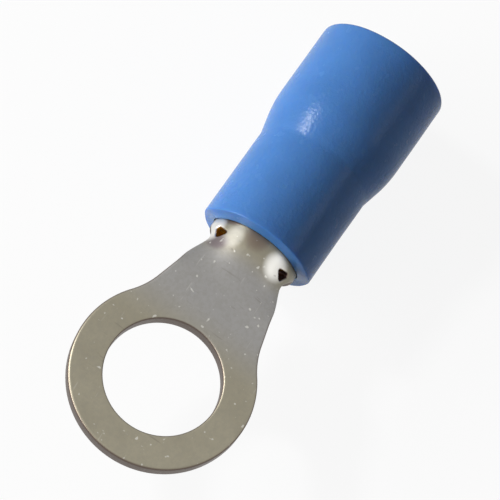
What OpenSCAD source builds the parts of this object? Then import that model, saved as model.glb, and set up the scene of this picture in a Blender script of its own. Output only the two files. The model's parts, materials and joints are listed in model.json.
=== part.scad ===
// Insulated ring terminal for a crimped wire joint.
// The metal part is one piece of tinned copper sheet: a flat ring for the stud, a neck,
// and a barrel rolled round to a butt seam. A soft plastic sleeve is pressed over the barrel.
// The stud hole's axis is +Z, the wire leaves along +X, and z = 0 is the tongue's underside.

/* [Ring tongue] */
// Diameter of the hole that the stud goes through
stud_hole_d = 4.3; // [3.2:0.1:5.3]
// Width of metal left all round the stud hole
ring_rim = 1.25; // [1:0.05:2]
// Thickness of the copper sheet
sheet_t = 0.65; // [0.5:0.05:0.9]

/* [Neck] */
// Width of the neck where it runs into the barrel, measured round the curve
neck_w = 3; // [2.6:0.1:3.4]
// How far inside the ring's edge the neck's straight sides would pass the stud hole's centre
neck_inset = 0.35; // [0.2:0.05:0.6]
// Radius that blends the ring into the neck
neck_fillet_r = 3; // [1:0.5:5]
// Length over which the flat tongue curls up into the barrel
curl_l = 2; // [1.6:0.1:2.4]
// Height of the barrel's crown over the tongue's upper face
crown_rise = 0.2; // [0:0.05:0.5]

/* [Crimp barrel] */
// Distance from the stud hole's centre to the barrel's front edge
hole_to_barrel = 5.8; // [5.6:0.1:7]
// Length of the barrel
barrel_l = 4.8; // [4:0.1:6]
// Diameter of the bore that takes the stripped conductor
barrel_bore_d = 2.3; // [2:0.1:2.6]
// Gap left open at the butt seam under the barrel
seam_gap = 0.08; // [0.04:0.02:0.2]
// Chamfer that leads the strands into the back of the bore
lead_in = 0.15; // [0.05:0.05:0.25]
// Number of grooves coined round the bore to grip the strands
groove_count = 3; // [0:1:4]
// Width of each groove
groove_w = 0.35; // [0.2:0.05:0.5]
// Depth of each groove
groove_depth = 0.08; // [0.04:0.02:0.12]

/* [Barrel wings] */
// How far the rolled wings' front edges lie behind the barrel's front at its crown
wing_setback = 0.45; // [0.3:0.05:0.55]
// Slope of the bevelled corner that runs from the neck's edge out to the wing's front
wing_bevel = 48; // [35:1:55]
// Width, measured round the curve, that the bevel adds to each side of the neck
wing_shoulder = 0.22; // [0.15:0.01:0.3]
// Length over which the neck's edge turns into the bevel
wing_blend = 0.35; // [0.2:0.05:0.5]

/* [Reliefs] */
// Length of the three-cornered opening where each side of the neck meets the barrel
relief_l = 0.53; // [0.4:0.01:0.6]
// Width of the opening, measured round the barrel
relief_w = 0.55; // [0.4:0.01:0.6]
// How far the opening's inner back corner lies ahead of its outer one
relief_skew = 0.2; // [0:0.05:0.3]
// How far the opening's front tip reaches ahead of the barrel's front
relief_reach = 0.2; // [0.1:0.05:0.3]
// Distance round the barrel from the neck's edge in to the opening's middle
relief_inset = 0.2; // [0.15:0.01:0.3]

/* [Insulating sleeve] */
// Length of bare barrel that stands out of the sleeve's mouth
barrel_proud = 0.6; // [0.4:0.1:0.8]
// Wall of the sleeve where it grips the barrel
sleeve_wall = 0.48; // [0.4:0.02:0.7]
// Clearance all round between the barrel and the sleeve
sleeve_fit = 0.02; // [0.01:0.01:0.05]
// Length of sleeve behind the barrel, which takes the wire's own insulation
entry_l = 4.7; // [4:0.1:6]
// How much the sleeve's radius grows over the flare
flare_step = 0.3; // [0.2:0.05:0.5]
// Slope of the flare
flare_angle = 13; // [10:1:20]
// Length of barrel that the flare starts ahead of
flare_lap = 0.2; // [0.1:0.1:1]
// Radius that softens the flare's outer shoulder
shoulder_r = 5; // [1:0.5:6]
// Wall of the sleeve at the wire entry
entry_wall = 0.5; // [0.4:0.02:0.6]
// Rounding of the sleeve's mouth, where it meets the neck
mouth_round = 0.12; // [0.06:0.02:0.24]
// Rounding of the wire entry's edges
entry_round = 0.12; // [0.05:0.01:0.16]

/* [Hidden] */
$fn = 96;

ring_r = stud_hole_d / 2 + ring_rim;
barrel_bore_r = barrel_bore_d / 2;
barrel_r = barrel_bore_r + sheet_t;
barrel_z = sheet_t + crown_rise - barrel_r;
groove_pitch = barrel_l / (groove_count + 1);

curl_x = hole_to_barrel - curl_l;
roll_r = barrel_bore_r + sheet_t / 2;
wing_half = neck_w / 2 + wing_shoulder;

// The neck's straight side is a line at neck_slope that starts at [0, root].
root = ring_r - neck_inset;
neck_slope = atan((root - neck_w / 2) / hole_to_barrel);
side_reach = root * cos(neck_slope) + neck_fillet_r;
side_run = sqrt(pow(ring_r + neck_fillet_r, 2) - pow(side_reach, 2));
fillet_x = side_reach * sin(neck_slope) + side_run * cos(neck_slope);
fillet_y = side_reach * cos(neck_slope) - side_run * sin(neck_slope);
fillet_foot_x = fillet_x - neck_fillet_r * sin(neck_slope);

// The curled neck is a loft of arc sections. Its back end is tucked inside the barrel's wall.
curl_steps = 26;
curl_cols = 20;
tuck_l = 0.3;
tuck_skin = 0.02;

sleeve_x = hole_to_barrel + barrel_proud;
grip_l = barrel_l - barrel_proud;
sleeve_l = grip_l + entry_l;
grip_r = barrel_r + sleeve_fit;
sleeve_r = grip_r + sleeve_wall;
flare_r = sleeve_r + flare_step;
entry_r = flare_r - entry_wall;
flare_at = grip_l - flare_lap;
shoulder_rise = min(shoulder_r * (1 - cos(flare_angle)), flare_step);
shoulder_at = flare_at + shoulder_r * sin(flare_angle)
    + (flare_step - shoulder_rise) / tan(flare_angle);
inner_round = 0.08;
funnel_gap = 0.1;
cut = 1;

// Smooth step from 0 to 1 with no kink at either end
function ease(u) = u * u * (3 - 2 * u);

// The greater of two values, rounded where they come within reach of each other
function soft_max(a, b, reach) = max(a, b) + pow(max(reach - abs(a - b), 0), 2) / (4 * reach);

// Half the neck's width at a distance x from the stud hole's centre
function neck_half(x) = root - x * tan(neck_slope);

// Half the blank's width where the neck's edge turns out along the wing's bevel
function blank_half(x) =
    soft_max(neck_half(x), wing_half + (x - hole_to_barrel) * tan(wing_bevel), wing_blend);

// Angle round the barrel that a width covers, measured at the middle of the sheet
function turn_of(width) = width / roll_r * 180 / PI;

// Points of an arc about c, from angle a to angle b
function arc(c, r, a, b, n = 8) =
    [for (i = [0:n]) c + r * [cos(a + (b - a) * i / n), sin(a + (b - a) * i / n)]];

// Outline of the tongue that stays flat: ring, neck, and the blend between them
module tongue_outline() {
    circle(ring_r);
    polygon([[0, -root], [curl_x, -neck_half(curl_x)], [curl_x, neck_half(curl_x)], [0, root]]);
    for (side = [0, 1]) mirror([0, side]) difference() {
        polygon([[0, 0], [fillet_x, fillet_y], [fillet_foot_x, neck_half(fillet_foot_x)],
                 [fillet_foot_x, 0]]);
        translate([fillet_x, fillet_y]) circle(neck_fillet_r);
    }
}

// Point of the curled sheet: u runs along the curl, s across it, and off is the distance
// from the sheet's middle. Each section is an arc that keeps the blank's width.
function curl_point(x, u, s, off) =
    let (bend = max(ease(u), 0.0001) / roll_r,
         turn = s * bend * 180 / PI,
         mid = sheet_t / 2 + crown_rise * ease(u))
    [x, sin(turn) * (1 / bend + off), mid - (1 - cos(turn)) / bend + cos(turn) * off];

// How far the curled sheet draws in all round where it enters the barrel's wall
function curl_skin(i) = i >= curl_steps ? tuck_skin : 0;

module curled_neck() {
    across = curl_cols + 1;
    rows = curl_steps + 1;
    points = [for (i = [0:rows]) let (u = min(i / curl_steps, 1),
                                      x = curl_x + curl_l * u + (i > curl_steps ? tuck_l : 0),
                                      half = blank_half(min(x, hole_to_barrel)) - curl_skin(i))
              for (face = [1, -1]) for (j = [0:curl_cols])
                  curl_point(x, u, half * (2 * j / curl_cols - 1),
                             face * (sheet_t / 2 - curl_skin(i)))];
    function at(i, j, low) = (2 * i + low) * across + j;
    faces = concat(
        [for (i = [0:rows - 1]) for (j = [0:curl_cols - 1])
            [at(i, j, 0), at(i, j + 1, 0), at(i + 1, j + 1, 0), at(i + 1, j, 0)]],
        [for (i = [0:rows - 1]) for (j = [0:curl_cols - 1])
            [at(i, j, 1), at(i + 1, j, 1), at(i + 1, j + 1, 1), at(i, j + 1, 1)]],
        [for (i = [0:rows - 1]) [at(i, 0, 1), at(i, 0, 0), at(i + 1, 0, 0), at(i + 1, 0, 1)]],
        [for (i = [0:rows - 1]) [at(i, curl_cols, 0), at(i, curl_cols, 1),
                                 at(i + 1, curl_cols, 1), at(i + 1, curl_cols, 0)]],
        [for (j = [0:curl_cols - 1]) [at(0, j + 1, 0), at(0, j, 0), at(0, j, 1), at(0, j + 1, 1)]],
        [for (j = [0:curl_cols - 1])
            [at(rows, j, 0), at(rows, j + 1, 0), at(rows, j + 1, 1), at(rows, j, 1)]]);
    polyhedron(points, faces);
}

// Sets a flat cutter on the barrel: x runs back from the barrel's front, y round the barrel
// away from its crown, starting at a given width, and the cut goes through from below to above.
module round_barrel(side, width, below, above) {
    translate([hole_to_barrel, 0, barrel_z]) rotate([-side * turn_of(width), 0, 0])
        mirror([0, (1 - side) / 2]) translate([0, 0, below])
            linear_extrude(above - below) children();
}

// What the blank leaves out ahead of a wing: the bevelled corner and the underside's setback
module wing_bevel_cutter(side) {
    rise = tan(wing_bevel);
    round_barrel(side, blank_half(hole_to_barrel), -barrel_r - cut, barrel_r + cut)
        polygon([[-cut, -cut * rise], [wing_setback, wing_setback * rise],
                 [wing_setback, 2 * barrel_r], [-cut, 2 * barrel_r]]);
}

// Rolled barrel, its butt seam opposite the crown, its grooves spaced evenly along the bore
module barrel() {
    difference() {
        translate([hole_to_barrel, 0, barrel_z]) rotate([0, 90, 0]) difference() {
            cylinder(r = barrel_r, h = barrel_l);
            translate([0, 0, -cut]) cylinder(r = barrel_bore_r, h = barrel_l + 2 * cut);
            translate([0, 0, barrel_l - lead_in])
                cylinder(r1 = barrel_bore_r, r2 = barrel_bore_r + lead_in, h = lead_in);
            translate([0, -seam_gap / 2, -cut])
                cube([barrel_r + cut, seam_gap, barrel_l + 2 * cut]);
            for (i = [1:1:groove_count]) translate([0, 0, groove_pitch * i - groove_w / 2])
                cylinder(r = barrel_bore_r + groove_depth, h = groove_w);
        }
        for (side = [-1, 1]) wing_bevel_cutter(side);
    }
}

// Three-cornered relief, cut square to the curved sheet
module relief(side) {
    back = relief_l - relief_reach;
    round_barrel(side, neck_w / 2 - relief_inset, barrel_bore_r / 2, barrel_r + cut)
        polygon([[-relief_reach, 0], [back, relief_w / 2], [back - relief_skew, -relief_w / 2]]);
}

module terminal_body() {
    color("silver") difference() {
        union() {
            linear_extrude(sheet_t) tongue_outline();
            curled_neck();
            barrel();
        }
        translate([0, 0, -cut]) cylinder(d = stud_hole_d, h = sheet_t + 2 * cut);
        for (side = [-1, 1]) relief(side);
    }
}

// Half section of the sleeve: radius across, distance from its mouth upward
module sleeve_section() {
    polygon(concat(
        arc([grip_r + inner_round, inner_round], inner_round, 180, 270, 4),
        arc([sleeve_r - mouth_round, mouth_round], mouth_round, -90, 0),
        [[sleeve_r, flare_at]],
        arc([flare_r - shoulder_r, shoulder_at], shoulder_r, -flare_angle, 0),
        arc([flare_r - entry_round, sleeve_l - entry_round], entry_round, 0, 90),
        arc([entry_r + inner_round, sleeve_l - inner_round], inner_round, 90, 180, 4),
        [[entry_r, shoulder_at], [grip_r, grip_l + funnel_gap]]));
}

module insulating_sleeve() {
    color("royalblue") translate([sleeve_x, 0, barrel_z]) rotate([0, 90, 0])
        rotate_extrude() sleeve_section();
}

terminal_body();
insulating_sleeve();
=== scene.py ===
import json
import math

import bmesh
import bpy
from mathutils import Matrix, Vector
from mathutils.geometry import delaunay_2d_cdt
from mathutils.kdtree import KDTree


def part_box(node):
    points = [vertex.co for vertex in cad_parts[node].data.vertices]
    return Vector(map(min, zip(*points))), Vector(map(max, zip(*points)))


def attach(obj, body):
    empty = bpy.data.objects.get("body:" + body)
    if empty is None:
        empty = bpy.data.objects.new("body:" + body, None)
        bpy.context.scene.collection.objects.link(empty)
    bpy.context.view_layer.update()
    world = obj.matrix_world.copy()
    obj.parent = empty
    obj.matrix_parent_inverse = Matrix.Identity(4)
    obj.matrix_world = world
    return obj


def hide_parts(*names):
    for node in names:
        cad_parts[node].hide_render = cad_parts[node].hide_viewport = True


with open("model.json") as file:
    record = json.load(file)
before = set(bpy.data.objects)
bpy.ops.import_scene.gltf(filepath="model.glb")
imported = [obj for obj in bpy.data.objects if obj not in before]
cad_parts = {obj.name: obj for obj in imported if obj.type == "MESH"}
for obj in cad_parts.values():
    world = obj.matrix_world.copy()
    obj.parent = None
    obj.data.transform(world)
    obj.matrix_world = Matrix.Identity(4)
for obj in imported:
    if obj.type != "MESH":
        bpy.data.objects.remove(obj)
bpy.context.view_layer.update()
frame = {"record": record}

# ---- Terminal body -----------------------------------------------------------------------
# One stamping of tinned copper sheet: a ring for the stud, a neck, and a blank that is
# rolled round under the neck into the crimp barrel. It is built as the flat blank with its
# sheared and rounded edges, in millimetres, and then rolled up as the press tool does.
MM = 0.001
mounts = {mount["name"]: mount for mount in frame["record"]["mounts"]}
body_low, body_high = (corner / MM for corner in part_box("terminal_body"))
sheet_t = mounts["upper_contact"]["pos_m"][2] / MM
hole_r = mounts["stud_hole"]["dims"]["r_mm"]
ring_r = -body_low.x
roll_r = mounts["conductor_barrel"]["dims"]["r_mm"] + sheet_t / 2
barrel_z = mounts["conductor_barrel"]["pos_m"][2] / MM
barrel_back = body_high.x
barrel_front = 5.8
crown_rise = barrel_z + roll_r - sheet_t / 2
curl_l = 2.0
neck_end = 1.5
neck_fillet_r = 3.0
root = ring_r - 0.35
neck_slope = math.atan((root - neck_end) / barrel_front)
seam_gap = 0.08
seam_side = math.pi * roll_r - seam_gap / 2
wing_front = barrel_front + 0.45
wing_bevel = math.radians(48)
wing_blend = 0.35


def wing_line(x):
    """Half width of the blank along the bevelled front corner of the barrel's wing."""
    return neck_end + 0.22 + math.tan(wing_bevel) * (x - barrel_front)


def side_line(x):
    """Half width of the blank from the neck to the wing's front, the two lines run together."""
    neck, wing = root - x * math.tan(neck_slope), wing_line(x)
    return max(neck, wing) + max(wing_blend - abs(neck - wing), 0) ** 2 / (4 * wing_blend)


def spaced(curve, length, step):
    """Points of curve(0..1), about one step apart, without the last."""
    count = max(2, round(length / step))
    return [curve(i / count) for i in range(count)]


def straight(a, b, step):
    return spaced(lambda t: (a[0] + (b[0] - a[0]) * t, a[1] + (b[1] - a[1]) * t),
                  math.dist(a, b), step)


def arc(centre, radius, start, end, step):
    def at(t):
        angle = start + (end - start) * t
        return centre[0] + radius * math.cos(angle), centre[1] + radius * math.sin(angle)
    return spaced(at, abs(end - start) * radius, step)


EDGE_STEP = 0.07
side_reach = root * math.cos(neck_slope) + neck_fillet_r
side_run = math.sqrt((ring_r + neck_fillet_r) ** 2 - side_reach ** 2)
fillet = (side_reach * math.sin(neck_slope) + side_run * math.cos(neck_slope),
          side_reach * math.cos(neck_slope) - side_run * math.sin(neck_slope))
fillet_turn = math.atan2(fillet[1], fillet[0])
foot_x = fillet[0] - neck_fillet_r * math.sin(neck_slope)
wing_corner = (wing_front, side_line(wing_front))
BLANK_CORNER = 0.2
corner_side = seam_side - BLANK_CORNER
# Each stretch of one side's outline: its points, and the rounding of its upper and lower edge
half_outline = [
    (arc((0, 0), ring_r, math.pi, fillet_turn, EDGE_STEP), 0.1, 0.05),
    (arc(fillet, neck_fillet_r, fillet_turn + math.pi, 1.5 * math.pi - neck_slope, EDGE_STEP),
     0.1, 0.05),
    (spaced(lambda t: (foot_x + (wing_front - foot_x) * t,
                       side_line(foot_x + (wing_front - foot_x) * t)),
            wing_front - foot_x, EDGE_STEP / 1.3), 0.09, 0.05),
    (straight(wing_corner, (wing_front, corner_side), EDGE_STEP), 0.06, 0.05),
    (arc((wing_front + BLANK_CORNER, corner_side), BLANK_CORNER, math.pi, math.pi / 2,
         EDGE_STEP), 0.06, 0.05),
    (straight((wing_front + BLANK_CORNER, seam_side), (barrel_back - BLANK_CORNER, seam_side),
              EDGE_STEP), 0.05, 0.03),
    (arc((barrel_back - BLANK_CORNER, corner_side), BLANK_CORNER, math.pi / 2, 0, EDGE_STEP),
     0.06, 0.09),
    (straight((barrel_back, corner_side), (barrel_back, 0), EDGE_STEP), 0.06, 0.14),
]
one_side = [(x, s, upper, lower) for points, upper, lower in half_outline for x, s in points]
other_side = [(x, -s, upper, lower) for x, s, upper, lower in one_side[1:]]
sharp = one_side + [(barrel_back, 0, 0.06, 0.14)] + other_side[::-1]
# The roundings run into each other from stretch to stretch
outline = [(x, s, *(sum(sharp[(i + k) % len(sharp)][part] for k in range(-3, 4)) / 7
                    for part in (2, 3)))
           for i, (x, s, _, _) in enumerate(sharp)]

stud_hole = [(x, s, 0.08, 0.05)
             for x, s in arc((0, 0), hole_r, 0, 2 * math.pi, EDGE_STEP)]

# The relief is a three-cornered opening where each side of the neck meets the barrel.
RELIEF_CORNERS = [(6.17, 1.64), (5.58, 1.3), (5.93, 0.98)]


def rounded_corners(corners, radius, step):
    """A closed outline through rounded corners."""
    points = []
    for i, corner in enumerate(corners):
        here = Vector(corner)
        before = (Vector(corners[i - 1]) - here).normalized()
        after = (Vector(corners[(i + 1) % len(corners)]) - here).normalized()
        half = before.angle(after) / 2
        centre = here + (before + after).normalized() * radius / math.sin(half)
        start = here + before * radius / math.tan(half) - centre
        end = here + after * radius / math.tan(half) - centre
        turn = start.angle_signed(end)
        first = math.atan2(start.y, start.x)
        points += arc(centre, radius, first, first - turn, step / 2)
        following = Vector(corners[(i + 1) % len(corners)])
        beyond = (here - following).normalized()
        leave = (Vector(corners[(i + 2) % len(corners)]) - following).normalized()
        reach = radius / math.tan(beyond.angle(leave) / 2)
        points += straight(centre + end, following + beyond * reach, step)
    return points


reliefs = [[(x, side * s, 0.06, 0.04) for x, s in rounded_corners(RELIEF_CORNERS, 0.09, 0.04)]
           for side in (1, -1)]


def metal_side(loop, sign):
    """Unit mitre at each point of a loop, pointing into the metal."""
    area = sum(a[0] * b[1] - b[0] * a[1] for a, b in zip(loop, loop[1:] + loop[:1]))
    sign = sign if area > 0 else -sign
    mitres = []
    for i, point in enumerate(loop):
        ahead = Vector(loop[(i + 1) % len(loop)][:2]) - Vector(point[:2])
        behind = Vector(point[:2]) - Vector(loop[i - 1][:2])
        a = Vector((-ahead.y, ahead.x)).normalized()
        b = Vector((-behind.y, behind.x)).normalized()
        mitres.append((a + b) / (1 + a.dot(b)) * sign)
    return mitres


ROUND_STEPS = 4
WALL_STEPS = 4
SUPPORT = 0.025
vertices, faces, edge_marks, bare_marks = [], [], [], []


def add_row(loop, mitres, rows, edge, bare):
    """Adds one ring of points round an edge and returns its first index."""
    first = len(vertices)
    for (x, s, _, _), mitre, (inset, off) in zip(loop, mitres, rows):
        vertices.append((x + mitre.x * inset, s + mitre.y * inset, off))
        edge_marks.append(edge)
        bare_marks.append(bare)
    return first


def add_edge(loop, sign, bare):
    """Adds the rounded upper edge, the sheared wall and the rounded lower edge of a loop.
    Returns the way into the metal at each point, and the first index of the ring that bounds
    the upper face and of the one that bounds the lower face."""
    mitres = metal_side(loop, sign)
    half = sheet_t / 2
    rings = [add_row(loop, mitres, [(p[2] + SUPPORT, half) for p in loop], 0, 0)]
    for k in range(ROUND_STEPS + 1):
        turn = math.pi / 2 * k / ROUND_STEPS
        rows = [(p[2] * (1 - math.sin(turn)), half - p[2] * (1 - math.cos(turn))) for p in loop]
        rings.append(add_row(loop, mitres, rows, k / ROUND_STEPS, bare * k / ROUND_STEPS))
    for k in range(1, WALL_STEPS):
        share = k / WALL_STEPS
        rows = [(0, (half - p[2]) * (1 - share) - (half - p[3]) * share) for p in loop]
        rings.append(add_row(loop, mitres, rows, 1, bare))
    for k in range(ROUND_STEPS, -1, -1):
        turn = math.pi / 2 * k / ROUND_STEPS
        rows = [(p[3] * (1 - math.sin(turn)), p[3] * (1 - math.cos(turn)) - half) for p in loop]
        rings.append(add_row(loop, mitres, rows, k / ROUND_STEPS, bare * k / ROUND_STEPS))
    rings.append(add_row(loop, mitres, [(p[3] + SUPPORT, -half) for p in loop], 0, 0))
    for upper, lower in zip(rings, rings[1:]):
        for i in range(len(loop)):
            j = (i + 1) % len(loop)
            faces.append((upper + i, lower + i, lower + j, upper + j))
    return mitres, rings[0], rings[-1]


def fill_face(loops, insides, firsts, part, off):
    """Fills the face between the loops' rings with near-equal triangles."""
    edges = KDTree(sum(map(len, loops)))
    flat, bounds, index, on_ring = [], [], {}, []
    for number, (loop, first) in enumerate(zip(loops, firsts)):
        start = len(flat)
        for i, point in enumerate(loop):
            edges.insert((point[0], point[1], 0), start + i)
            bounds.append((start + i, start + (i + 1) % len(loop)))
            index[start + i] = first + i
            on_ring.append(number)
            flat.append(Vector(vertices[first + i][:2]))
    edges.balance()
    around = [(Vector(point[:2]), inward, point[part] + SUPPORT)
              for loop, mitres in zip(loops, insides) for point, inward in zip(loop, mitres)]
    for low, high, step in ((-ring_r, 2.2, 0.16), (2.2, 6.6, 0.085), (6.6, barrel_back, 0.12)):
        rows, reach = math.ceil((high - low) / step), math.ceil(seam_side / step / 1.1)
        for row in range(rows):
            x = low + (row + 0.5) * (high - low) / rows
            for column in range(-reach, reach + 1):
                spot = Vector((x, (column + 0.5 * (row % 2)) * step * 1.1))
                _, nearest, gap = edges.find((*spot, 0))
                edge_point, inward, inset = around[nearest]
                if gap > inset + 0.55 * step and inward.dot(spot - edge_point) > 0:
                    flat.append(spot)
                    on_ring.append(0)
    _, _, triangles, sources, _, _ = delaunay_2d_cdt(flat, bounds, [], 1, 1e-7)
    for triangle in triangles:
        corners = [sources[k][0] for k in triangle]
        rings = {on_ring[k] for k in corners}
        if rings != {0} and len(rings) == 1:
            continue
        for k in corners:
            if k not in index:
                index[k] = len(vertices)
                vertices.append((*flat[k], off))
                edge_marks.append(0)
                bare_marks.append(0)
        faces.append([index[k] for k in corners])


loops = [outline, stud_hole] + reliefs
ends = [add_edge(outline, 1, 0), add_edge(stud_hole, -1, 0)]
ends += [add_edge(relief, -1, 1) for relief in reliefs]
insides, uppers, lowers = zip(*ends)
fill_face(loops, insides, uppers, 2, sheet_t / 2)
fill_face(loops, insides, lowers, 3, -sheet_t / 2)
blank = bpy.data.meshes.new("terminal_blank")
blank.from_pydata([Vector(v) * MM for v in vertices], [], faces)
outward = bmesh.new()
outward.from_mesh(blank)
bmesh.ops.recalc_face_normals(outward, faces=outward.faces)
outward.to_mesh(blank)
outward.free()
for name, marks in (("edge", edge_marks), ("bare", bare_marks)):
    blank.attributes.new(name, "FLOAT", "POINT").data.foreach_set("value", marks)
blank.shade_smooth()


class Socket:
    """An output socket that takes part in Python expressions, each of which adds Math nodes."""

    def __init__(self, socket):
        self.socket = socket

    @staticmethod
    def node(tree, kind, settings=None, inputs=None, output=0):
        """Adds a node to a tree: its settings first, then its sockets' values or links."""
        node = tree.nodes.new(kind)
        for name, value in (settings or {}).items():
            if name == "stops":
                while len(node.color_ramp.elements) < len(value):
                    node.color_ramp.elements.new(1)
                for element, (place, colour) in zip(node.color_ramp.elements, value):
                    element.position, element.color = place, colour
            else:
                setattr(node, name, value)
        for name, value in (inputs or {}).items():
            if isinstance(value, Socket):
                tree.links.new(value.socket, node.inputs[name])
            else:
                node.inputs[name].default_value = value
        return Socket(node.outputs[output])

    def beside(self, output):
        """Another output of the same node."""
        return Socket(self.socket.node.outputs[output])

    def to(self, kind, settings=None, inputs=None, output=0):
        """Adds a node to this socket's own tree."""
        return Socket.node(self.socket.id_data, kind, settings, inputs, output)

    def maths(self, operation, *values):
        return self.to("ShaderNodeMath", {"operation": operation}, dict(enumerate(values)))

    def __add__(self, other):
        return self.maths("ADD", self, other)

    def __radd__(self, other):
        return self.maths("ADD", other, self)

    def __sub__(self, other):
        return self.maths("SUBTRACT", self, other)

    def __rsub__(self, other):
        return self.maths("SUBTRACT", other, self)

    def __mul__(self, other):
        return self.maths("MULTIPLY", self, other)

    def __rmul__(self, other):
        return self.maths("MULTIPLY", other, self)

    def __truediv__(self, other):
        return self.maths("DIVIDE", self, other)

    def __rtruediv__(self, other):
        return self.maths("DIVIDE", other, self)

    def ramp(self, low, high):
        """0 below low, 1 above high, and smooth between them."""
        return self.to("ShaderNodeMapRange", {"interpolation_type": "SMOOTHSTEP"},
                       {"Value": self, "From Min": low, "From Max": high})


def new_shape_tree(name, sizes):
    """A Geometry Nodes tree with a geometry input and named sizes: the tree and its inputs."""
    tree = bpy.data.node_groups.new(name, "GeometryNodeTree")
    tree.interface.new_socket("Geometry", in_out="INPUT", socket_type="NodeSocketGeometry")
    tree.interface.new_socket("Geometry", in_out="OUTPUT", socket_type="NodeSocketGeometry")
    for size in sizes:
        tree.interface.new_socket(size, in_out="INPUT", socket_type="NodeSocketFloat")
    given = Socket.node(tree, "NodeGroupInput")
    return tree, {key: given.beside(key) for key in ["Geometry", *sizes]}


def shaped(name, mesh, tree, sizes, material):
    """Runs a tree on a mesh with these sizes and returns the result as a plain mesh object."""
    piece = bpy.data.objects.new(name, mesh)
    bpy.context.scene.collection.objects.link(piece)
    modifier = piece.modifiers.new("shape", "NODES")
    modifier.node_group = tree
    for item in tree.interface.items_tree:
        if item.in_out == "INPUT" and item.name in sizes:
            modifier[item.identifier] = sizes[item.name]
    depsgraph = bpy.context.evaluated_depsgraph_get()
    result = bpy.data.meshes.new_from_object(piece.evaluated_get(depsgraph))
    piece.modifiers.clear()
    piece.data = result
    result.name = name
    return piece


def close_tree(tree, geometry, material):
    """Ends a tree in Realize Instances and Set Material."""
    real = geometry.to("GeometryNodeRealizeInstances", None, {"Geometry": geometry})
    finished = real.to("GeometryNodeSetMaterial", None, {"Geometry": real, "Material": material})
    last = tree.nodes.new("NodeGroupOutput")
    tree.links.new(finished.socket, last.inputs["Geometry"])


def new_material(name):
    """An empty material: the material, its tree, its shader and its Object coordinates."""
    material = bpy.data.materials.new(name)
    material.use_nodes = True
    tree = material.node_tree
    shader = tree.nodes["Principled BSDF"]
    place = Socket.node(tree, "ShaderNodeTexCoord", None, None, "Object")
    return material, tree, shader, place


def noise(place, scale, detail=2.0, roughness=0.5, stretch=(1, 1, 1)):
    """Soft noise of about the given number of patches a millimetre, 0 to 1."""
    scaled = place.to("ShaderNodeMapping", None, {"Vector": place, "Scale": stretch})
    return place.to("ShaderNodeTexNoise", None,
                    {"Vector": scaled, "Scale": scale / MM, "Detail": detail,
                     "Roughness": roughness})


def mix_colours(mask, first, second):
    """The colour that goes from first to second as the mask goes from 0 to 1."""
    tree = mask.socket.id_data
    node = tree.nodes.new("ShaderNodeMix")
    node.data_type = "RGBA"
    tree.links.new(mask.socket, node.inputs[0])
    for place, colour in ((6, first), (7, second)):
        if isinstance(colour, Socket):
            tree.links.new(colour.socket, node.inputs[place])
        else:
            node.inputs[place].default_value = (*colour, 1)
    return Socket(node.outputs[2])


def patch(along, across, middle, reach):
    """1 in the middle of an oval patch, in millimetres, and 0 outside it, soft between."""
    far = sum(((at - there) / half * ((at - there) / half)
               for at, there, half in zip((along, across), middle, reach)), 0)
    return 1 - far.ramp(0.1, 1.0)


# Dull electro-tin with fine pits and short scratches. Sheared edges stay brown, partly bare
# metal and partly a painted dark reflection. Painted highlights, painted shade and painted
# reflections lie over the neck and the roll's shoulders, and copper shows in the reliefs.
tin, tree, shader, place = new_material("tinned_copper")
TIN = (0.293, 0.269, 0.203)
NECK_BLUE_REFLECTION = (0.284, 0.28, 0.28)
CROWN_DARK_REFLECTION = (0.17, 0.135, 0.105)
RELIEF_FRONT_SHADE = (0.17, 0.14, 0.15)
PAINTED_HIGHLIGHT = (0.95, 0.94, 0.9)
DARK_BROWN = (0.11, 0.08, 0.065)
RELIEF_BROWN = (0.16, 0.1, 0.09)
COPPER = (0.5, 0.27, 0.03)
split = place.to("ShaderNodeSeparateXYZ", None, {"Vector": place})
along, across = split.beside("X") / MM, split.beside("Y") / MM
upper = (split.beside("Z") / MM).ramp(-0.9, -0.5)
edge = Socket.node(tree, "ShaderNodeAttribute", {"attribute_name": "edge"}, None, "Fac")
bare = Socket.node(tree, "ShaderNodeAttribute", {"attribute_name": "bare"}, None, "Fac")
blotch = noise(place, 0.5, 3.0, 0.6)
grain = noise(place, 7.0, 2.0, 0.6)
colour = mix_colours(blotch.ramp(0.3, 0.7), TIN, [c * 0.88 for c in TIN])
# Painted bluish reflection along the neck, from about 1.2 to 5.8 mm along the axis.
colour = mix_colours(along.ramp(1.2, 3.2) * (1 - along.ramp(4.8, 5.8)) * 0.85, colour, NECK_BLUE_REFLECTION)
colour = mix_colours(grain.ramp(0.35, 0.7) * 0.22, colour, (0.2, 0.19, 0.16))
# Soft patches on the upper side: a painted dark reflection at the crown, painted shade ahead of
# the relief, a darker brown patch beside the sleeve's lip where barrel and sleeve meet, and
# painted highlights on the roll's shoulders.
overlaid_patches = [(patch(along, across, (6.35, 0.1), (0.75, 0.6)) * 0.95, CROWN_DARK_REFLECTION),
        (patch(along, across, (5.45, 1.25), (0.42, 0.45)) * 0.85, RELIEF_FRONT_SHADE),
        (patch(along, across, (6.45, 1.2), (0.25, 0.4)) * 0.9, DARK_BROWN),
        (patch(along, across, (5.85, 0.85), (0.55, 0.42)) * 0.2, PAINTED_HIGHLIGHT),
        (patch(along, across, (5.85, -1.0), (0.65, 0.55)) * 0.65, PAINTED_HIGHLIGHT),
        (patch(along, across, (5.95, 1.65), (0.75, 0.4)) * 0.75, PAINTED_HIGHLIGHT)]
for mask, shade in overlaid_patches:
    colour = mix_colours(mask * upper, colour, shade)
specks = noise(place, 5.0, 1.0, 0.5).ramp(0.70, 0.76)
scratches = noise(place, 8.0, 2.0, 0.5, (0.1, 1, 1)).ramp(0.68, 0.76)
scuffs = noise(place, 6.0, 2.0, 0.6, (1, 0.12, 1)).ramp(0.66, 0.76)
colour = mix_colours(specks * 0.6, colour, (0.62, 0.61, 0.56))
colour = mix_colours(scratches * 0.15, colour, (0.6, 0.59, 0.55))
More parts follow.
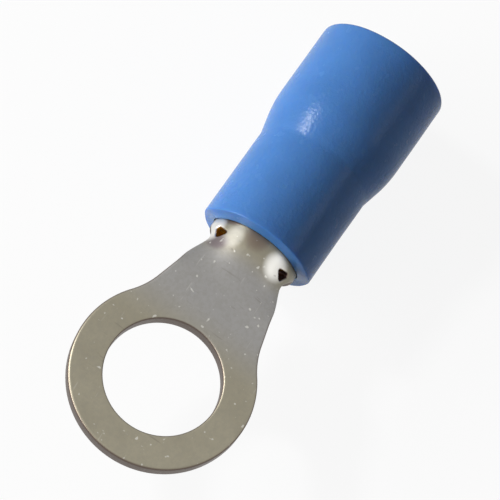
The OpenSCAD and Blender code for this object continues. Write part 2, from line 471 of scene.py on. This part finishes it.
colour = mix_colours(scuffs * 0.3, colour, (0.12, 0.1, 0.08))
# Sheared edges darkened to brown: partly the bare sheared metal, partly a painted dark
# reflection.
colour = mix_colours(edge.ramp(0.15, 0.7) * (1 - bare) * 0.95, colour, DARK_BROWN)
colour = mix_colours(bare.ramp(0.5, 0.95), colour, RELIEF_BROWN)
copper = bare.ramp(0.5, 0.95) * noise(place, 2.6, 1.0).ramp(0.48, 0.56)
colour = mix_colours(copper, colour, COPPER)
tree.links.new(colour.socket, shader.inputs["Base Color"])
shader.inputs["Metallic"].default_value = 1
roughness = 0.36 + 0.1 * noise(place, 1.2, 3.0) - 0.1 * specks
tree.links.new(roughness.socket, shader.inputs["Roughness"])
relief_map = (noise(place, 14.0, 2.0, 0.6) * 0.6 + noise(place, 3.0, 2.0) * 1.5
              + specks * 0.8 - scuffs * 0.5)
bump = relief_map.to("ShaderNodeBump", None,
                     {"Height": relief_map, "Strength": 0.3, "Distance": 0.01 * MM})
tree.links.new(bump.socket, shader.inputs["Normal"])

# Rolling the blank: across the neck the sheet bends to an ever tighter arc, until it closes
# round the bore. The grooves are coined into the bore's wall at an even pitch.
tree, given = new_shape_tree("roll_up_blank", [
    "Sheet thickness", "Roll radius", "Curl start", "Curl length", "Crown rise",
    "Groove pitch", "Groove count", "Groove width", "Groove depth", "Unevenness"])
spot = Socket.node(tree, "GeometryNodeInputPosition")
split = spot.to("ShaderNodeSeparateXYZ", None, {"Vector": spot})
x, s, off = split, split.beside("Y"), split.beside("Z")
past = x.to("ShaderNodeMapRange", {"interpolation_type": "SMOOTHSTEP"},
            {"Value": x, "From Min": given["Curl start"],
             "From Max": given["Curl start"] + given["Curl length"]})
steps = (x - given["Curl start"] - given["Curl length"]) / given["Groove pitch"]
nearest = steps.maths("ROUND", steps)
from_groove = steps.maths("ABSOLUTE", steps - nearest) * given["Groove pitch"]
in_groove = 1 - from_groove.ramp(given["Groove width"] * 0.4, given["Groove width"] * 0.6)
counted = (steps.maths("GREATER_THAN", nearest, 0.5)
           * (1 - steps.maths("GREATER_THAN", nearest, given["Groove count"] + 0.5)))
lower_half = steps.maths("LESS_THAN", off, 0)
off = off + in_groove * counted * lower_half * given["Groove depth"]
bend = past.maths("MAXIMUM", past, 0.0001) / given["Roll radius"]
turn = s * bend
half_sine = turn.maths("SINE", turn * 0.5)
drop = 2 * half_sine * half_sine / bend
wave = spot.to("ShaderNodeTexNoise", None, {"Vector": spot, "Scale": 0.45 / MM, "Detail": 1.0})
rise = (wave - 0.5) * given["Unevenness"]
height = (given["Sheet thickness"] * 0.5 + given["Crown rise"] * past - drop
          + turn.maths("COSINE", turn) * off + rise)
width = turn.maths("SINE", turn) * (1 / bend + off)
rolled = x.to("ShaderNodeCombineXYZ", None, {"X": x, "Y": width, "Z": height})
shape = rolled.to("GeometryNodeSetPosition", None,
                  {"Geometry": given["Geometry"], "Position": rolled})
close_tree(tree, shape, tin)
terminal = shaped("rolled_terminal", blank, tree, {
    "Sheet thickness": sheet_t * MM, "Roll radius": roll_r * MM,
    "Curl start": (barrel_front - curl_l) * MM, "Curl length": curl_l * MM,
    "Crown rise": crown_rise * MM, "Groove pitch": (barrel_back - barrel_front) / 4 * MM,
    "Groove count": 3, "Groove width": 0.35 * MM, "Groove depth": 0.08 * MM,
    "Unevenness": 0.02 * MM}, tin)
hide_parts("terminal_body")
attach(terminal, "root")

# ---- Insulating sleeve -------------------------------------------------------------------
# A tube of soft blue vinyl, pressed over the barrel. It is moulded with a thinner end that
# grips the barrel and a flared end that takes the wire's own insulation.
sleeve_low, sleeve_high = (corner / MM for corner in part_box("insulating_sleeve"))
sleeve_l = sleeve_high.x - sleeve_low.x
flare_r = (sleeve_high.y - sleeve_low.y) / 2
entry_r = mounts["wire_entry"]["dims"]["r_mm"]
grip_bore_r = roll_r + sheet_t / 2 + 0.02
mouth_r = grip_bore_r + 0.48
grip_l = barrel_back - sleeve_low.x
flare_at = grip_l - 0.2
flare_angle = math.radians(13)
shoulder_r = 5.0
lip_round, lip_set = 0.05, 0.08
entry_round, inner_round = 0.12, 0.03
shoulder_rise = min(shoulder_r * (1 - math.cos(flare_angle)), flare_r - mouth_r)
shoulder_at = (flare_at + shoulder_r * math.sin(flare_angle)
               + (flare_r - mouth_r - shoulder_rise) / math.tan(flare_angle))
SLEEVE_STEP = 0.1
QUARTER = math.pi / 2
# Half section as distance from the axis and distance from the mouth, round the closed wall
section = (
    arc((grip_bore_r + inner_round, inner_round), inner_round, 2 * QUARTER, 3 * QUARTER, 0.02)
    + straight((grip_bore_r + inner_round, 0), (mouth_r - lip_round, lip_set), 0.06)
    + arc((mouth_r - lip_round, lip_set + lip_round), lip_round, -QUARTER, 0, 0.02)
    + straight((mouth_r, lip_set + lip_round), (mouth_r, flare_at), SLEEVE_STEP)
    + straight((mouth_r, flare_at), (flare_r - shoulder_r + shoulder_r * math.cos(flare_angle),
               shoulder_at - shoulder_r * math.sin(flare_angle)), SLEEVE_STEP)
    + arc((flare_r - shoulder_r, shoulder_at), shoulder_r, -flare_angle, 0, SLEEVE_STEP)
    + straight((flare_r, shoulder_at), (flare_r, sleeve_l - entry_round), SLEEVE_STEP)
    + arc((flare_r - entry_round, sleeve_l - entry_round), entry_round, 0, QUARTER, 0.03)
    + arc((entry_r + inner_round, sleeve_l - inner_round), inner_round, QUARTER, 2 * QUARTER,
          0.02)
    + straight((entry_r, sleeve_l - inner_round), (entry_r, shoulder_at), SLEEVE_STEP)
    + straight((entry_r, shoulder_at), (grip_bore_r, grip_l + 0.1), SLEEVE_STEP)
    + straight((grip_bore_r, grip_l + 0.1), (grip_bore_r, inner_round), SLEEVE_STEP))
profile = bpy.data.meshes.new("sleeve_section")
profile.from_pydata([Vector((r - mouth_r, at, 0)) * MM for r, at in section],
                    [(i, (i + 1) % len(section)) for i in range(len(section))], [])

vinyl, tree, shader, place = new_material("blue_sleeve")
BLUE = (0.052, 0.161, 0.408)
blotch = noise(place, 0.6, 2.0)
colour = mix_colours(blotch.ramp(0.3, 0.7), BLUE, [c * 0.92 for c in BLUE])
tree.links.new(colour.socket, shader.inputs["Base Color"])
shader.inputs["Specular IOR Level"].default_value = 0.16
shader.inputs["Subsurface Weight"].default_value = 0.25
shader.inputs["Subsurface Radius"].default_value = (0.06, 0.2, 1.0)
shader.inputs["Subsurface Scale"].default_value = 1.2 * MM
roughness = 0.22 + 0.08 * noise(place, 2.0, 2.0)
tree.links.new(roughness.socket, shader.inputs["Roughness"])
skin = noise(place, 7.0, 2.0, 0.6)
bump = skin.to("ShaderNodeBump", None, {"Height": skin, "Strength": 0.5, "Distance": 0.03 * MM})
tree.links.new(bump.socket, shader.inputs["Normal"])

# The wall's section is swept round the barrel's axis
tree, given = new_shape_tree("turn_sleeve", ["Grip radius", "Mouth place", "Axis height",
                                             "Mouth skew", "Skew length", "Unevenness"])
ring = Socket.node(tree, "GeometryNodeCurvePrimitiveCircle", None,
                   {"Resolution": 160, "Radius": given["Grip radius"]})
outline_curve = ring.to("GeometryNodeMeshToCurve", None, {"Mesh": given["Geometry"]})
wall = ring.to("GeometryNodeCurveToMesh", None, {"Curve": ring, "Profile Curve": outline_curve})
shift = ring.to("ShaderNodeCombineXYZ", None, {"X": given["Mouth place"],
                                               "Z": given["Axis height"]})
placed = ring.to("GeometryNodeTransform", None,
                 {"Geometry": wall, "Translation": shift, "Rotation": (0, -QUARTER, 0)})
spot = ring.to("GeometryNodeInputPosition")
normal = ring.to("GeometryNodeInputNormal")
wave = spot.to("ShaderNodeTexNoise", None, {"Vector": spot, "Scale": 0.4 / MM, "Detail": 1.0})
push = normal.to("ShaderNodeVectorMath", {"operation": "SCALE"},
                 {"Vector": normal, "Scale": (wave - 0.55) * given["Unevenness"]})
split = spot.to("ShaderNodeSeparateXYZ", None, {"Vector": spot})
down = 0.5 - (split.beside("Z") - given["Axis height"]) / given["Grip radius"] * 0.5
faded = 1 - split.ramp(given["Mouth place"], given["Mouth place"] + given["Skew length"])
back = ring.to("ShaderNodeCombineXYZ", None,
               {"X": down.ramp(0.25, 0.65) * faded * given["Mouth skew"]})
moved = push.to("ShaderNodeVectorMath", {"operation": "ADD"}, {0: push, 1: back})
uneven = placed.to("GeometryNodeSetPosition", None, {"Geometry": placed, "Offset": moved})
smooth = uneven.to("GeometryNodeSetShadeSmooth", None, {"Geometry": uneven})
close_tree(tree, smooth, vinyl)
sleeve = shaped("vinyl_sleeve", profile, tree, {
    "Grip radius": mouth_r * MM, "Mouth place": sleeve_low.x * MM,
    "Axis height": barrel_z * MM, "Mouth skew": 0.22 * MM, "Skew length": 2.5 * MM,
    "Unevenness": 0.03 * MM}, vinyl)
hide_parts("insulating_sleeve")
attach(sleeve, "root")

# ---- Floor, light and camera -------------------------------------------------------------
# A pale sheet under the terminal, a soft lamp to its left, and a camera that looks down
# over the ring towards the sleeve.
floor_z = sleeve_low.z * MM - 0.02 * MM
floor_mesh = bpy.data.meshes.new("floor")
FLOOR = 0.4
floor_mesh.from_pydata([(-FLOOR, -FLOOR, floor_z), (FLOOR, -FLOOR, floor_z),
                        (FLOOR, FLOOR, floor_z), (-FLOOR, FLOOR, floor_z)], [], [(0, 1, 2, 3)])
floor = bpy.data.objects.new("floor", floor_mesh)
bpy.context.scene.collection.objects.link(floor)
pale, tree, shader, place = new_material("pale_floor")
shader.inputs["Base Color"].default_value = (0.85, 0.85, 0.85, 1)
shader.inputs["Roughness"].default_value = 0.9
path = Socket.node(tree, "ShaderNodeLightPath")
seen = path.beside("Is Camera Ray").maths(
    "MAXIMUM", path.beside("Is Camera Ray"), path.beside("Is Glossy Ray"))
glow = Socket.node(tree, "ShaderNodeEmission", None, {"Color": (1, 1, 1, 1), "Strength": 1})
mix = tree.nodes.new("ShaderNodeMixShader")
seen = (path.beside("Is Camera Ray") * 0.25 + seen * 0.65)
tree.links.new(seen.socket, mix.inputs[0])
tree.links.new(shader.outputs[0], mix.inputs[1])
tree.links.new(glow.socket, mix.inputs[2])
tree.links.new(mix.outputs[0], tree.nodes["Material Output"].inputs["Surface"])
floor_mesh.materials.append(pale)

world = bpy.data.worlds.new("studio")
bpy.context.scene.world = world
world.use_nodes = True
tree = world.node_tree
path = Socket.node(tree, "ShaderNodeLightPath")
seen = path.beside("Is Camera Ray").maths(
    "MAXIMUM", path.beside("Is Camera Ray"), path.beside("Is Glossy Ray"))
seen = seen.maths("MAXIMUM", seen, path.beside("Is Transmission Ray"))
background = tree.nodes["Background"]
sky = mix_colours(seen, (0.12, 0.12, 0.12), (1, 1, 1))
tree.links.new(sky.socket, background.inputs["Color"])

centre = Vector((6.0, 0.1, 0.0)) * MM


def sphere_point(azimuth, elevation, distance):
    """Point seen from the object's centre at an azimuth and elevation in degrees."""
    a, e = math.radians(azimuth), math.radians(elevation)
    return centre + distance * Vector((math.cos(a) * math.cos(e), math.sin(a) * math.cos(e),
                                       math.sin(e)))


def add_lamp(name, azimuth, elevation, distance, size, power, colour=(1, 1, 1)):
    """A flat lamp that faces the object from an azimuth and elevation in degrees."""
    data = bpy.data.lights.new(name, "AREA")
    data.shape = "RECTANGLE"
    data.size, data.size_y = size
    data.energy = power
    data.color = colour
    lamp = bpy.data.objects.new(name, data)
    lamp.location = sphere_point(azimuth, elevation, distance)
    lamp.rotation_euler = (centre - lamp.location).to_track_quat("-Z", "Y").to_euler()
    bpy.context.scene.collection.objects.link(lamp)


add_lamp("window", 122, 17, 0.3, (0.26, 0.13), 1.15)
add_lamp("left_lamp", 92, 37, 0.3, (0.03, 0.03), 0.5)
add_lamp("right_lamp", -67, 30, 0.3, (0.04, 0.04), 0.025)

camera_data = bpy.data.cameras.new("camera")
camera_data.lens = 261.86
camera_data.clip_start = 0.01
camera = bpy.data.objects.new("camera", camera_data)
target = Vector((6.028, 0.112, 0.0)) * MM
azimuth, elevation, roll, distance = map(math.radians, (-176.84, 68.99, 32.1, 0))
back = Vector((math.cos(azimuth) * math.cos(elevation), math.sin(azimuth) * math.cos(elevation),
               math.sin(elevation)))
level = back.to_track_quat("Z", "Y").to_matrix()
turned = level @ Matrix.Rotation(roll, 3, "Z")
camera.matrix_world = Matrix.Translation(target + back * 0.13077) @ turned.to_4x4()
bpy.context.scene.collection.objects.link(camera)
bpy.context.scene.camera = camera
bpy.context.scene.view_settings.view_transform = "Standard"
